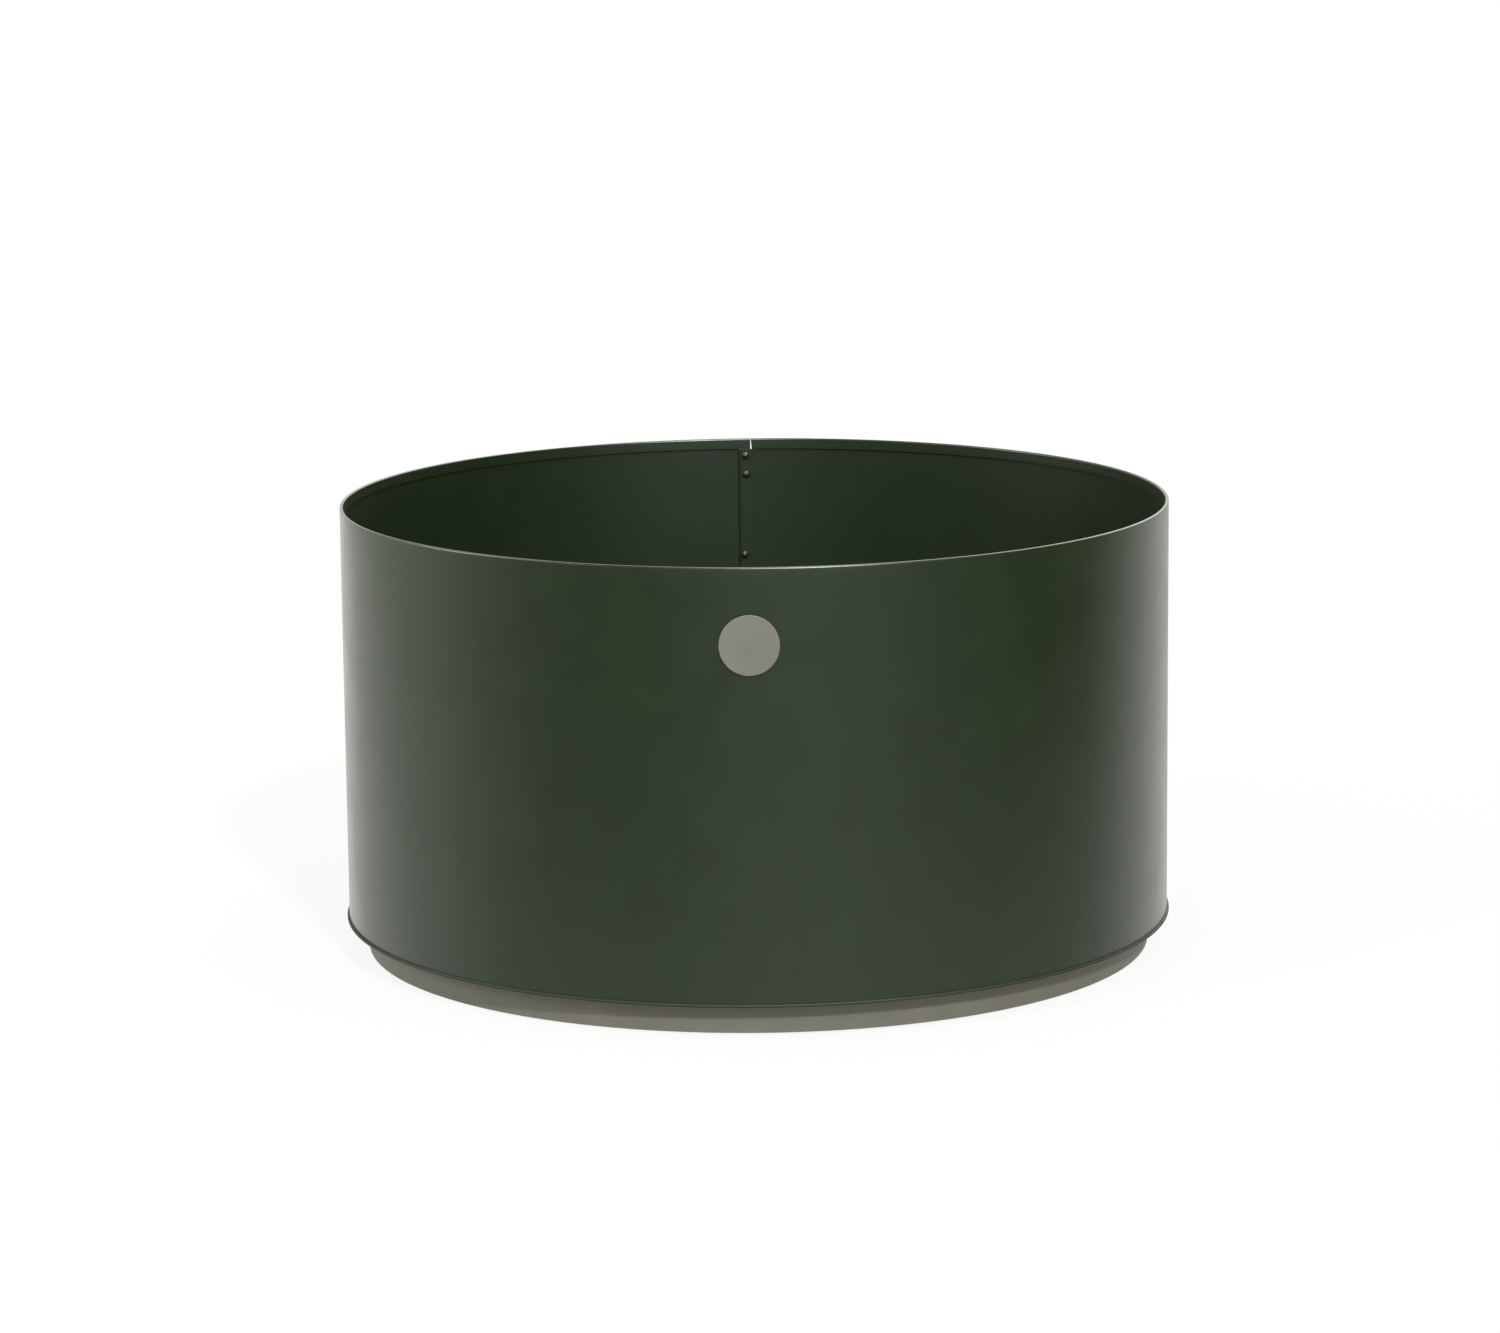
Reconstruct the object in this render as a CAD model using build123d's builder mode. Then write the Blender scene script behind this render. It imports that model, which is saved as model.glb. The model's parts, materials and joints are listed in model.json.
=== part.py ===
"""A round aluminium planter: a rolled wall on a floor plate, carried by bearers inside a plinth ring.

Millimetres and degrees. +Z is up, the ground is z = 0 and the drum's axis is the Z axis. The front, with the
badge, faces -Y, and the wall's riveted seam is at the rear, at +Y.
"""

import os
from math import asin, cos, degrees, radians, sin, sqrt

from build123d import *

os.makedirs("parts", exist_ok=True)

# Wall: a rolled sheet with a closed hem folded inwards at the rim
wall_radius = 370.0
wall_height = 371.5
wall_thickness = 1.5
hem_height = 10.0
hem_gap = 0.2

# Seam at the rear: places across the seam are X distances from the drum's centre plane
joggle_start = -15.3
joggle_run = 2.4
joggle_fillet = 1.6
lap_end = -1.9
lap_gap = 0.1
outer_end_clearance = 0.4
slit_top_middle = -3.0
slit_top_width = 0.4
slit_bottom_middle = -2.4
slit_bottom_width = 1.35
relief_height = 0.3
relief_margin = 0.2

# Tabs bent inwards at the wall's foot
tab_count = 24
tab_width = 30.0
tab_depth = 14.0
tab_corner = 4.0

# Floor plate: its edge stands proud of the wall as a lip
floor_thickness = 2.5
lip_overhang = 2.0
lip_fillet = 0.8
drain_radius = 6.0
drain_pitch = 150.0
drain_rows = 3

# Plinth ring: a rolled angle set back under the floor plate
plinth_lift = 2.0
plinth_height = 26.5
plinth_set_back = 17.4
plinth_thickness = 2.0
plinth_leg = 20.0
plinth_bend = 2.0
plinth_joint_gap = 1.5

# Splice plate behind the plinth ring's joint
splice_length = 64.0
splice_height = 17.0
splice_lift = 3.0
splice_thickness = 2.0
splice_rivet_pitch = 14.0

# Bearers: top-hat sections under the floor plate
bearer_spacing = 190.0
bearer_height = 20.0
bearer_crown = 40.0
bearer_flange = 18.0
bearer_thickness = 2.0
bearer_bend = 2.0
bearer_end_clearance = 2.5

# Glides: discs screwed under the bearers, which the planter stands on
glide_radius = 16.0
glide_edge = 1.5
glide_inset = 42.0
glide_pocket_depth = 5.0
glide_screw_radius = 2.5
glide_screw_length = 13.0
glide_screw_head_radius = 4.75
glide_screw_head_height = 3.2
glide_screw_socket_radius = 1.7
glide_screw_socket_depth = 1.9

# Rivet nuts in the bearers' crowns
rivet_nut_flange_radius = 5.0
rivet_nut_flange_height = 0.8
rivet_nut_body_radius = 3.5
rivet_nut_bulge_radius = 4.6
rivet_nut_bulge_height = 2.6
rivet_nut_length = 12.0

# Badge: a flat disc on a gasket, held by two studs
badge_turn = 0.8
badge_drop = 65.0
badge_radius = 25.5
badge_thickness = 2.0
badge_edge = 0.5
badge_gasket_thickness = 0.8
badge_gasket_set_in = 2.0
badge_stud_radius = 2.0
badge_stud_offset = 12.0
badge_stud_spare = 1.4
badge_washer_radius = 4.5
badge_washer_thickness = 0.8
badge_nut_flats = 7.0
badge_nut_height = 3.2

# Blind rivets: a large size for the seam and the bearers, a small size for the rest
large_rivet_radius = 2.4
large_rivet_head_radius = 4.75
large_rivet_head_height = 1.4
large_rivet_tail_radius = 3.5
large_rivet_tail_height = 2.3
small_rivet_radius = 2.0
small_rivet_head_radius = 4.0
small_rivet_head_height = 1.2
small_rivet_tail_radius = 2.9
small_rivet_tail_height = 2.0
mandrel_share = 0.56
mandrel_recess = 0.5

# Where the rivets go
seam_rivet_line = -8.4
seam_rivet_first_drop = 16.3
seam_rivet_second_drop = 34.6
seam_rivet_pitch = 78.7
seam_rivet_foot_margin = 18.0
seam_rivet_wander = (0.6, 0.9, -1.2, 0.4, -0.5, 0.3)
floor_rivet_inset = 8.0
plinth_rivet_count = 12
plinth_rivet_inset = 11.0
bearer_rivet_pitch = 115.0
bearer_rivet_inset = 22.0

# Clearances
hole_clearance = 0.1
stem_clearance = 0.02
curve_clearance = 0.05
stud_clearance = 0.25
thread_clearance = 0.05
pocket_clearance = 1.25

# Levels and radii that follow from the sizes above
plinth_top = plinth_lift + plinth_height
floor_top = plinth_top + floor_thickness
rim_level = floor_top + wall_height
hem_level = rim_level - hem_height
wall_inner_radius = wall_radius - wall_thickness
lap_outer_radius = wall_inner_radius - lap_gap
lap_inner_radius = lap_outer_radius - wall_thickness
plinth_radius = wall_radius - plinth_set_back
plinth_inner_radius = plinth_radius - plinth_thickness
plinth_leg_radius = plinth_radius - plinth_leg
splice_outer_radius = plinth_inner_radius - curve_clearance
splice_inner_radius = splice_outer_radius - splice_thickness
splice_middle = plinth_lift + splice_lift + splice_height / 2
crown_level = plinth_top - bearer_height
crown_inner_level = crown_level + bearer_thickness
floor_rivet_circle = wall_inner_radius - floor_rivet_inset
plinth_rivet_circle = plinth_radius - plinth_rivet_inset
rear = 90.0


def angle_at(across, radius):
    """Polar angle of the rear point of a circle that lies this far across the seam."""
    return rear - degrees(asin(across / radius))


def write(builder, name):
    """Label the finished piece and write it under its name."""
    builder.part.label = name
    export_step(builder.part, f"parts/{name}.step")


# Blind rivets, as set: the head's underside is at z = 0 and the tail points to +Z
def blind_rivet(radius, head_radius, head_height, tail_radius, tail_height, grip):
    """One set blind rivet as its body and what stays of its mandrel."""
    stem_radius = radius * mandrel_share
    bore_radius = stem_radius + stem_clearance
    collar_radius = (tail_radius + bore_radius) / 2
    tail_top = grip + tail_height
    mandrel_top = tail_top + stem_radius
    with BuildPart() as body:
        with BuildSketch(Plane.XZ):
            with BuildLine():
                Polyline((bore_radius, tail_top), (bore_radius, -head_height), (radius, -head_height))
                RadiusArc((radius, -head_height), (head_radius, 0), -head_radius)
                Polyline((head_radius, 0), (radius, 0), (radius, grip), (tail_radius - radius / 4, grip))
                ThreePointArc(
                    (tail_radius - radius / 4, grip),
                    (tail_radius, grip + tail_height * 0.4),
                    (collar_radius, tail_top),
                )
                Line((collar_radius, tail_top), (bore_radius, tail_top))
            make_face()
        revolve(axis=Axis.Z)
    with BuildPart() as mandrel:
        with BuildSketch(Plane.XZ):
            with BuildLine():
                Polyline(
                    (0, mandrel_top),
                    (0, mandrel_recess - head_height),
                    (stem_radius, mandrel_recess - head_height),
                    (stem_radius, tail_top),
                    (collar_radius, tail_top),
                )
                TangentArc((0, mandrel_top), (collar_radius, tail_top), tangent=(1, 0))
            make_face()
        revolve(axis=Axis.Z)
    return body.part, mandrel.part


def large_rivet(grip):
    """The rivet of the seam and the bearers."""
    return blind_rivet(
        large_rivet_radius,
        large_rivet_head_radius,
        large_rivet_head_height,
        large_rivet_tail_radius,
        large_rivet_tail_height,
        grip,
    )


def small_rivet(grip):
    """The rivet of the wall's tabs, the plinth and its splice."""
    return blind_rivet(
        small_rivet_radius,
        small_rivet_head_radius,
        small_rivet_head_height,
        small_rivet_tail_radius,
        small_rivet_tail_height,
        grip,
    )


def write_rivets(name, rivet, places):
    """Write a row of equal rivets as one node of bodies and one of mandrels."""
    body, mandrel = rivet
    with BuildPart() as bodies:
        with Locations(*places):
            add(body)
    write(bodies, f"{name}_rivets")
    with BuildPart() as mandrels:
        with Locations(*places):
            add(mandrel)
    write(mandrels, f"{name}_rivet_mandrels")


# Places of the seam's rivets: a close pair below the hem, then an even pitch down to the foot
even_span = wall_height - seam_rivet_second_drop - seam_rivet_foot_margin
even_count = int(even_span / seam_rivet_pitch) + 1
seam_drops = [seam_rivet_first_drop]
seam_drops += [seam_rivet_second_drop + seam_rivet_pitch * step for step in range(even_count)]


def seam_plane(number, drop):
    """Plane on the wall's outside at a seam rivet, looking inwards."""
    across = seam_rivet_line + seam_rivet_wander[number % len(seam_rivet_wander)]
    angle = radians(angle_at(across, wall_radius))
    outward = Vector(cos(angle), sin(angle), 0)
    return Plane(
        origin=outward * wall_radius + Vector(0, 0, rim_level - drop),
        x_dir=(0, 0, 1),
        z_dir=outward * -1,
    )


seam_places = [seam_plane(number, drop) for number, drop in enumerate(seam_drops)]

# The badge's plane lies on the wall's outside, with z outwards and y up
badge_outward = Vector(-sin(radians(badge_turn)), -cos(radians(badge_turn)), 0)
badge_plane = Plane(
    origin=badge_outward * wall_radius + Vector(0, 0, rim_level - badge_drop),
    x_dir=(cos(radians(badge_turn)), -sin(radians(badge_turn)), 0),
    z_dir=badge_outward,
)
badge_studs = [(0, badge_stud_offset), (0, -badge_stud_offset)]
stud_hole_radius = badge_stud_radius + stud_clearance

# Wall sheet
with BuildPart() as wall_sheet:
    # Ring, joggle and lap are one plan, drawn from the joggle round to the sheet's outer end
    joggle_end = joggle_start + joggle_run
    outer_end = joggle_end + outer_end_clearance
    ring_start = angle_at(joggle_start, wall_radius)
    ring_size = 360 - (ring_start - angle_at(outer_end, wall_radius))
    lap_start = angle_at(joggle_end, lap_outer_radius)
    lap_size = angle_at(lap_end, lap_outer_radius) - lap_start
    with BuildSketch(Plane.XY.offset(floor_top)) as wall_plan:
        with BuildLine():
            ring_outside = CenterArc((0, 0), wall_radius, ring_start, ring_size)
            ring_inside = CenterArc((0, 0), wall_inner_radius, ring_start, ring_size)
            lap_outside = CenterArc((0, 0), lap_outer_radius, lap_start, lap_size)
            lap_inside = CenterArc((0, 0), lap_inner_radius, lap_start, lap_size)
            Line(ring_outside @ 1, ring_inside @ 1)
            Line(ring_outside @ 0, lap_outside @ 0)
            Line(ring_inside @ 0, lap_inside @ 0)
            Line(lap_outside @ 1, lap_inside @ 1)
        make_face()
        bends = [ring_outside @ 0, ring_inside @ 0, lap_outside @ 0, lap_inside @ 0]
        fillet([wall_plan.vertices().sort_by_distance(bend)[0] for bend in bends], joggle_fillet)
    extrude(amount=wall_height - hem_height)
    # The hem is the same sheet turned over inwards, so it is two sheets thick with a round top
    fold_radius = wall_thickness + hem_gap / 2
    fold_middle = wall_radius - fold_radius
    fold_level = rim_level - fold_radius
    fold_inside = wall_radius - 2 * fold_radius
    with BuildSketch(Plane.XZ) as hem_section:
        with BuildLine():
            Line((wall_radius, hem_level), (wall_radius, fold_level))
            ThreePointArc(
                (wall_radius, fold_level), (fold_middle, rim_level), (fold_inside, fold_level)
            )
            Polyline(
                (fold_inside, fold_level),
                (fold_inside, hem_level),
                (fold_inside + wall_thickness, hem_level),
                (fold_inside + wall_thickness, fold_level),
            )
            ThreePointArc(
                (fold_inside + wall_thickness, fold_level),
                (fold_middle, fold_level + hem_gap / 2),
                (wall_inner_radius, fold_level),
            )
            Polyline(
                (wall_inner_radius, fold_level), (wall_inner_radius, hem_level), (wall_radius, hem_level)
            )
        make_face()
    revolve(axis=Axis.Z)
    # Below the hem's ends a narrow relief frees them from the lap
    with BuildSketch(Plane.XY.offset(hem_level)):
        relief_start = joggle_start - relief_margin
        relief_stop = slit_bottom_middle + slit_bottom_width / 2 + relief_margin
        with Locations(((relief_start + relief_stop) / 2, wall_radius)):
            Rectangle(relief_stop - relief_start, 4 * (wall_radius - lap_inner_radius))
    extrude(amount=-relief_height, mode=Mode.SUBTRACT)
    # The hem's ends meet at a slit that widens downwards
    with BuildSketch(Plane.XZ.offset(-wall_radius - wall_thickness)):
        with BuildLine():
            Polyline(
                (slit_top_middle - slit_top_width / 2, rim_level),
                (slit_top_middle + slit_top_width / 2, rim_level),
                (slit_bottom_middle + slit_bottom_width / 2, hem_level - relief_height),
                (slit_bottom_middle - slit_bottom_width / 2, hem_level - relief_height),
                close=True,
            )
        make_face()
    extrude(amount=4 * fold_radius, mode=Mode.SUBTRACT)
    # Tabs bent inwards lie on the floor plate
    with BuildSketch(Plane.XY.offset(floor_top)) as tabs:
        tab_reach = tab_depth + wall_thickness / 2
        with PolarLocations(
            wall_inner_radius - tab_depth + tab_reach / 2, tab_count, start_angle=rear + 180 / tab_count
        ):
            Rectangle(tab_reach, tab_width)
        fillet(tabs.vertices().sort_by_distance((0, 0))[: 2 * tab_count], tab_corner)
        with PolarLocations(floor_rivet_circle, tab_count, start_angle=rear + 180 / tab_count):
            Circle(small_rivet_radius + hole_clearance, mode=Mode.SUBTRACT)
    extrude(amount=wall_thickness)
    # Holes for the seam's rivets and the badge's studs
    with Locations(*seam_places):
        Cylinder(large_rivet_radius + hole_clearance, 8 * wall_thickness, mode=Mode.SUBTRACT)
    with BuildSketch(badge_plane.offset(wall_thickness)):
        with Locations(*badge_studs):
            Circle(stud_hole_radius)
    extrude(amount=-3 * wall_thickness, mode=Mode.SUBTRACT)
write(wall_sheet, "wall_sheet")

seam_grip = 2 * wall_thickness + lap_gap + curve_clearance
write_rivets("seam", large_rivet(seam_grip), seam_places)


# Bearers: their ends stop short of the plinth's leg
bearer_half_width = bearer_crown / 2 + bearer_flange
bearer_names = {"left": -bearer_spacing, "middle": 0.0, "right": bearer_spacing}
flange_middle = bearer_half_width - bearer_flange / 2


def bearer_half_length(across):
    """Half the length of the bearer at this X, which fits inside the plinth's leg."""
    reach = plinth_leg_radius - bearer_end_clearance
    return sqrt(reach**2 - (abs(across) + bearer_half_width) ** 2)


def bearer_rivet_places(across):
    """Places along both flanges of the bearer at this X, at an even pitch close to the wanted one."""
    span = 2 * (bearer_half_length(across) - bearer_rivet_inset)
    steps = round(span / bearer_rivet_pitch)
    return [
        (across + side * flange_middle, span * (step / steps - 0.5))
        for side in (-1, 1)
        for step in range(steps + 1)
    ]


bearer_rivet_points = [point for x in bearer_names.values() for point in bearer_rivet_places(x)]
large_hole_radius = large_rivet_radius + hole_clearance
glide_steps = {"front": -1, "centre": 0, "rear": 1}


def glide_point(across, step):
    """Place of a glide under the bearer at this X: at its front, centre or rear."""
    return (across, step * (bearer_half_length(across) - glide_inset))


glide_points = {
    f"glide_{side}_{place}": glide_point(across, step)
    for side, across in bearer_names.items()
    for place, step in glide_steps.items()
}

# Floor plate
plinth_rivet_start = rear + 180 / plinth_rivet_count
with BuildPart() as floor_plate:
    with BuildSketch(Plane.XY.offset(plinth_top)):
        Circle(wall_radius + lip_overhang)
        with PolarLocations(floor_rivet_circle, tab_count, start_angle=rear + 180 / tab_count):
            Circle(small_rivet_radius + hole_clearance, mode=Mode.SUBTRACT)
        with PolarLocations(plinth_rivet_circle, plinth_rivet_count, start_angle=plinth_rivet_start):
            Circle(small_rivet_radius + hole_clearance, mode=Mode.SUBTRACT)
        with Locations(*bearer_rivet_points):
            Circle(large_hole_radius, mode=Mode.SUBTRACT)
        with GridLocations(bearer_spacing, drain_pitch, 2, drain_rows):
            Circle(drain_radius, mode=Mode.SUBTRACT)
    extrude(amount=floor_thickness)
    rim_edges = floor_plate.edges().filter_by(GeomType.CIRCLE).sort_by(SortBy.RADIUS)[-2:]
    fillet(rim_edges, lip_fillet)
write(floor_plate, "floor_plate")

floor_rivet_places = PolarLocations(
    floor_rivet_circle, tab_count, start_angle=rear + 180 / tab_count
).locations
underside = Location((0, 0, plinth_top))
write_rivets(
    "floor",
    small_rivet(floor_thickness + wall_thickness),
    [underside * place for place in floor_rivet_places],
)

# Plinth ring
with BuildPart() as plinth_ring:
    with BuildSketch(Plane.XZ) as plinth_section:
        with BuildLine():
            Polyline(
                (plinth_radius, plinth_lift),
                (plinth_radius, plinth_top),
                (plinth_leg_radius, plinth_top),
                (plinth_leg_radius, plinth_top - plinth_thickness),
                (plinth_inner_radius, plinth_top - plinth_thickness),
                (plinth_inner_radius, plinth_lift),
                close=True,
            )
        make_face()
        inner_corner = plinth_section.vertices().sort_by_distance(
            (plinth_inner_radius, plinth_top - plinth_thickness)
        )[0]
        fillet(inner_corner, plinth_bend)
        outer_corner = plinth_section.vertices().sort_by_distance((plinth_radius, plinth_top))[0]
        fillet(outer_corner, plinth_bend + plinth_thickness)
    revolve(axis=Axis.Z)
    # The rolled angle's ends meet at the rear
    with BuildSketch():
        with Locations((0, plinth_radius)):
            Rectangle(plinth_joint_gap, 3 * plinth_leg)
    extrude(amount=plinth_top, mode=Mode.SUBTRACT)
    with BuildSketch(Plane.XY.offset(plinth_top)):
        with PolarLocations(plinth_rivet_circle, plinth_rivet_count, start_angle=plinth_rivet_start):
            Circle(small_rivet_radius + hole_clearance)
    extrude(amount=-2 * plinth_thickness, mode=Mode.SUBTRACT)
    splice_places = []
    for step in (-1.5, -0.5, 0.5, 1.5):
        turn = radians(angle_at(step * splice_rivet_pitch, plinth_radius))
        outward = Vector(cos(turn), sin(turn), 0)
        splice_places.append(
            Plane(
                origin=outward * plinth_radius + Vector(0, 0, splice_middle),
                x_dir=(0, 0, 1),
                z_dir=outward * -1,
            )
        )
    with Locations(*splice_places):
        Cylinder(small_rivet_radius + hole_clearance, 4 * plinth_thickness, mode=Mode.SUBTRACT)
write(plinth_ring, "plinth_ring")

plinth_flange_level = Location((0, 0, plinth_top - plinth_thickness))
plinth_rivet_places = PolarLocations(
    plinth_rivet_circle, plinth_rivet_count, start_angle=plinth_rivet_start
).locations
write_rivets(
    "plinth",
    small_rivet(plinth_thickness + floor_thickness),
    [plinth_flange_level * place for place in plinth_rivet_places],
)

# Splice plate, curved to the plinth ring's inside
with BuildPart() as plinth_splice:
    splice_half_turn = degrees(asin(splice_length / 2 / splice_outer_radius))
    with BuildSketch(Plane.XY.offset(plinth_lift + splice_lift)):
        with BuildLine():
            splice_outside = CenterArc(
                (0, 0), splice_outer_radius, rear - splice_half_turn, 2 * splice_half_turn
            )
            splice_inside = CenterArc(
                (0, 0), splice_inner_radius, rear - splice_half_turn, 2 * splice_half_turn
            )
            Line(splice_outside @ 0, splice_inside @ 0)
            Line(splice_outside @ 1, splice_inside @ 1)
        make_face()
    extrude(amount=splice_height)
    with Locations(*splice_places):
        Cylinder(
            small_rivet_radius + hole_clearance,
            4 * (plinth_thickness + splice_thickness),
            mode=Mode.SUBTRACT,
        )
write(plinth_splice, "plinth_splice")

splice_grip = plinth_thickness + splice_thickness + 2 * curve_clearance
write_rivets("splice", small_rivet(splice_grip), splice_places)

# Bearers
nut_hole_radius = rivet_nut_body_radius + hole_clearance
for side, across in bearer_names.items():
    half_length = bearer_half_length(across)
    with BuildPart() as bearer:
        with BuildSketch(Plane.XZ.offset(-half_length)) as hat:
            with Locations((across, crown_level + bearer_height / 2)):
                Rectangle(bearer_crown, bearer_height)
            with Locations((across, plinth_top - bearer_thickness / 2)):
                Rectangle(2 * bearer_half_width, bearer_thickness)
            with Locations((across, crown_inner_level + bearer_height / 2)):
                Rectangle(bearer_crown - 2 * bearer_thickness, bearer_height, mode=Mode.SUBTRACT)
            web_outside = bearer_crown / 2
            web_inside = web_outside - bearer_thickness
            tight_bends = [(web_inside, crown_inner_level), (web_outside, plinth_top - bearer_thickness)]
            wide_bends = [(web_outside, crown_level), (web_inside, plinth_top)]
            for bends, bend_radius in (
                (tight_bends, bearer_bend),
                (wide_bends, bearer_bend + bearer_thickness),
            ):
                for offset_across, level in bends:
                    left_bend = hat.vertices().sort_by_distance((across - offset_across, level))[0]
                    right_bend = hat.vertices().sort_by_distance((across + offset_across, level))[0]
                    fillet([left_bend, right_bend], bend_radius)
        extrude(amount=2 * half_length)
        with BuildSketch(Plane.XY.offset(plinth_top)):
            with Locations(*bearer_rivet_places(across)):
                Circle(large_hole_radius)
        extrude(amount=-2 * bearer_thickness, mode=Mode.SUBTRACT)
        with BuildSketch(Plane.XY.offset(crown_level)):
            with Locations(*[glide_point(across, step) for step in glide_steps.values()]):
                Circle(nut_hole_radius)
        extrude(amount=bearer_thickness, mode=Mode.SUBTRACT)
    write(bearer, f"bearer_{side}")

write_rivets(
    "bearer",
    large_rivet(bearer_thickness + floor_thickness),
    [(x, y, plinth_top - bearer_thickness) for x, y in bearer_rivet_points],
)

# Glides
for name, (across, along) in glide_points.items():
    with BuildPart() as glide:
        with BuildSketch():
            with Locations((across, along)):
                Circle(glide_radius)
        extrude(amount=crown_level)
        fillet(glide.edges().group_by(Axis.Z)[0], glide_edge)
        fillet(glide.edges().group_by(Axis.Z)[-1], glide_edge / 2)
        with BuildSketch():
            with Locations((across, along)):
                Circle(glide_screw_head_radius + pocket_clearance)
        extrude(amount=glide_pocket_depth, mode=Mode.SUBTRACT)
        with BuildSketch():
            with Locations((across, along)):
                Circle(glide_screw_radius + stud_clearance)
        extrude(amount=crown_level, mode=Mode.SUBTRACT)
        with BuildSketch(Plane.XY.offset(crown_level)):
            with Locations((across, along)):
                Circle(rivet_nut_flange_radius + stud_clearance)
        extrude(amount=-rivet_nut_flange_height - hole_clearance, mode=Mode.SUBTRACT)
    write(glide, name)

# Glide screws: pan heads inside the glides' pockets
with BuildPart() as glide_screws:
    with BuildSketch(Plane.XY.offset(glide_pocket_depth - glide_screw_head_height)):
        with Locations(*glide_points.values()):
            Circle(glide_screw_head_radius)
    extrude(amount=glide_screw_head_height)
    fillet(glide_screws.edges().group_by(Axis.Z)[0], glide_screw_head_height / 3)
    with BuildSketch(Plane.XY.offset(glide_pocket_depth)):
        with Locations(*glide_points.values()):
            Circle(glide_screw_radius)
    extrude(amount=glide_screw_length)
    with BuildSketch(Plane.XY.offset(glide_pocket_depth - glide_screw_head_height)):
        with Locations(*glide_points.values()):
            RegularPolygon(glide_screw_socket_radius, 6)
    extrude(amount=glide_screw_socket_depth, mode=Mode.SUBTRACT)
write(glide_screws, "glide_screws")

# Rivet nuts: a flange under the crown and a bulge over it
with BuildPart() as glide_rivet_nuts:
    with BuildSketch(Plane.XY.offset(crown_level)):
        with Locations(*glide_points.values()):
            Circle(rivet_nut_flange_radius)
    extrude(amount=-rivet_nut_flange_height)
    with BuildSketch(Plane.XY.offset(crown_level)):
        with Locations(*glide_points.values()):
            Circle(rivet_nut_body_radius)
    extrude(amount=rivet_nut_length)
    with BuildSketch(Plane.XY.offset(crown_inner_level)):
        with Locations(*glide_points.values()):
            Circle(rivet_nut_bulge_radius)
    extrude(amount=rivet_nut_bulge_height)
    with BuildSketch(Plane.XY.offset(crown_level - rivet_nut_flange_height)):
        with Locations(*glide_points.values()):
            Circle(glide_screw_radius + thread_clearance)
    extrude(amount=rivet_nut_flange_height + rivet_nut_length, mode=Mode.SUBTRACT)
write(glide_rivet_nuts, "glide_rivet_nuts")

# Badge gasket: flat in front and curved behind to the wall
with BuildPart() as badge_gasket:
    with BuildSketch(badge_plane.offset(badge_gasket_thickness)):
        Circle(badge_radius - badge_gasket_set_in)
        with Locations(*badge_studs):
            Circle(stud_hole_radius, mode=Mode.SUBTRACT)
    extrude(amount=-3 * badge_gasket_thickness)
    with Locations((0, 0, rim_level - badge_drop)):
        Cylinder(wall_radius, 4 * badge_radius, mode=Mode.SUBTRACT)
write(badge_gasket, "badge_gasket")

# Badge disc with its two studs
badge_back = badge_plane.offset(badge_gasket_thickness)
nut_side = badge_plane.offset(-wall_thickness - curve_clearance)
with BuildPart() as badge_disc:
    with BuildSketch(badge_back):
        Circle(badge_radius)
    extrude(amount=badge_thickness)
    front_edge = badge_disc.edges().sort_by(Axis.Y)[0]
    fillet(front_edge, badge_edge)
    with BuildSketch(badge_back):
        with Locations(*badge_studs):
            Circle(badge_stud_radius)
    stud_stack = badge_washer_thickness + badge_nut_height + curve_clearance + badge_stud_spare
    extrude(amount=-badge_gasket_thickness - wall_thickness - stud_stack)
write(badge_disc, "badge_disc")

# Badge washers and nuts, inside the wall
with BuildPart() as badge_washers:
    with BuildSketch(nut_side):
        with Locations(*badge_studs):
            Circle(badge_washer_radius)
            Circle(stud_hole_radius, mode=Mode.SUBTRACT)
    extrude(amount=-badge_washer_thickness)
write(badge_washers, "badge_washers")

with BuildPart() as badge_nuts:
    with BuildSketch(nut_side.offset(-badge_washer_thickness)):
        with Locations(*badge_studs):
            RegularPolygon(badge_nut_flats / 2, 6, major_radius=False)
            Circle(badge_stud_radius + thread_clearance, mode=Mode.SUBTRACT)
    extrude(amount=-badge_nut_height)
write(badge_nuts, "badge_nuts")
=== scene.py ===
"""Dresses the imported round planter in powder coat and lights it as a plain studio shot.

Sizes are in millimetres where a name says nothing else, and meshes are written in metres. +Z is up, the drum's
axis is the Z axis, the badge faces -Y and the riveted seam is at the rear, at +Y.
"""

import json
import logging
import math
from dataclasses import dataclass, field
from enum import Enum
from typing import Any

import bpy
import numpy as np
from mathutils import Matrix, Vector
from mathutils.geometry import delaunay_2d_cdt


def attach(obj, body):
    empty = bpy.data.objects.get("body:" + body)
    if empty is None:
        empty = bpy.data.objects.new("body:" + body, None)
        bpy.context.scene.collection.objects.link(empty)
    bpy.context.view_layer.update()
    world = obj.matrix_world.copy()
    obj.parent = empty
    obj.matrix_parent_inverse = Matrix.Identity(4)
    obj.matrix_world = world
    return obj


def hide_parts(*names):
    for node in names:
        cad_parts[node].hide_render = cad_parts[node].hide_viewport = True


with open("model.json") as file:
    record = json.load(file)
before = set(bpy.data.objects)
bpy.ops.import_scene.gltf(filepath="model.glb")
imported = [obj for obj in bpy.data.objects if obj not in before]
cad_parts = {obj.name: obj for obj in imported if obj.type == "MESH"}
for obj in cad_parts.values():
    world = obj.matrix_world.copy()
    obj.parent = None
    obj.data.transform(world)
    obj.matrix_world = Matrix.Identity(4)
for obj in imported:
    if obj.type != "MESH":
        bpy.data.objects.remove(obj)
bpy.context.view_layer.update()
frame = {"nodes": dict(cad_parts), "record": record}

log = logging.getLogger("planter")

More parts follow.
